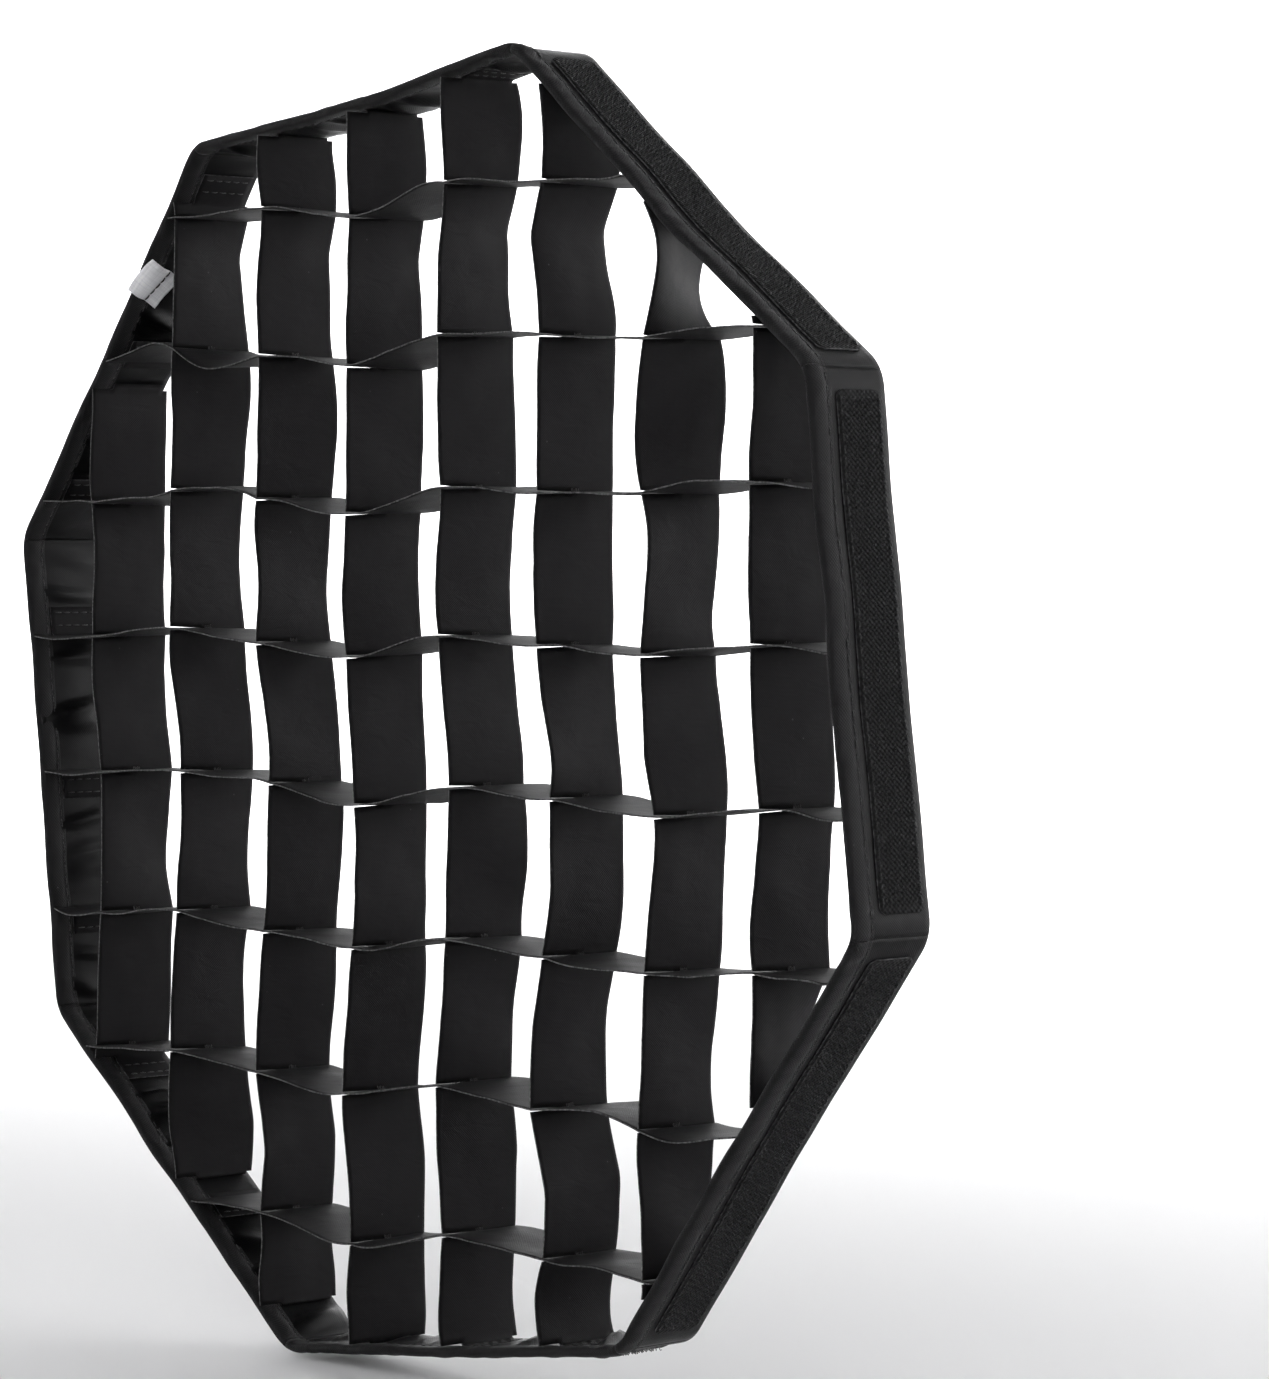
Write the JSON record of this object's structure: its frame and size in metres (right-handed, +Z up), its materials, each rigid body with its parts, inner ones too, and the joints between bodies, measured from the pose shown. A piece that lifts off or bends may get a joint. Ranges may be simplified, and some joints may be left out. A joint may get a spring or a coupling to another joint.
{
  "type": "softbox honeycomb grid",
  "caption": "Eight-sided cloth light grid with square cells, slotted strips, a sewn border band and hook tape for the rim of a softbox.",
  "frame": {"origin": "on the grid's axis, in the plane of its rear edges, where it faces the softbox's diffuser", "axes": "+Z up, -Y towards the subject, +X to the right as seen from the front; the strips run along X and Z"},
  "size_m": [0.3778, 0.0305, 0.3778],
  "materials": {
    "black_cloth": "matte",
    "black_binding": "matte",
    "hook_tape": "matte",
    "black_thread": "satin",
    "white_satin": "satin"
  },
  "bodies": {
    "grid": {"border_panel_1": "black_cloth", "hook_tape_1": "hook_tape", "border_panel_2": "black_cloth", "hook_tape_2": "hook_tape", "border_panel_3": "black_cloth", "hook_tape_3": "hook_tape", "border_panel_4": "black_cloth", "hook_tape_4": "hook_tape", "border_panel_5": "black_cloth", "hook_tape_5": "hook_tape", "border_panel_6": "black_cloth", "hook_tape_6": "hook_tape", "border_panel_7": "black_cloth", "hook_tape_7": "hook_tape", "border_panel_8": "black_cloth", "hook_tape_8": "hook_tape", "upright_strip_1": "black_cloth", "level_strip_1": "black_cloth", "upright_strip_2": "black_cloth", "level_strip_2": "black_cloth", "upright_strip_3": "black_cloth", "level_strip_3": "black_cloth", "upright_strip_4": "black_cloth", "level_strip_4": "black_cloth", "upright_strip_5": "black_cloth", "level_strip_5": "black_cloth", "upright_strip_6": "black_cloth", "level_strip_6": "black_cloth", "upright_strip_7": "black_cloth", "level_strip_7": "black_cloth", "upright_strip_8": "black_cloth", "level_strip_8": "black_cloth", "crossing_tacks": "black_thread"},
    "front_hem": {"hem_binding_1": "black_binding", "hem_binding_2": "black_binding", "hem_binding_3": "black_binding", "hem_binding_4": "black_binding", "hem_binding_5": "black_binding", "hem_binding_6": "black_binding", "hem_binding_7": "black_binding", "hem_binding_8": "black_binding", "care_label_tail": "white_satin"},
    "label": {"care_label_flap": "white_satin"}
  },
  "joints": [
    {"name": "flatten", "type": "slide", "parent": "grid", "child": "front_hem", "axis": [0, 1, 0], "range_m": [0, 0.022], "deforming": ["border_panel_1", "hook_tape_1", "border_panel_2", "hook_tape_2", "border_panel_3", "hook_tape_3", "border_panel_4", "hook_tape_4", "border_panel_5", "hook_tape_5", "border_panel_6", "hook_tape_6", "border_panel_7", "hook_tape_7", "border_panel_8", "hook_tape_8", "upright_strip_1", "level_strip_1", "upright_strip_2", "level_strip_2", "upright_strip_3", "level_strip_3", "upright_strip_4", "level_strip_4", "upright_strip_5", "level_strip_5", "upright_strip_6", "level_strip_6", "upright_strip_7", "level_strip_7", "upright_strip_8", "level_strip_8", "crossing_tacks"]},
    {"name": "label_flap", "type": "hinge", "parent": "front_hem", "child": "label", "pos_m": [-0.12438, -0.022, 0.13017], "axis": [0.6157, 0, 0.788], "range_deg": [0, 60]}
  ]
}
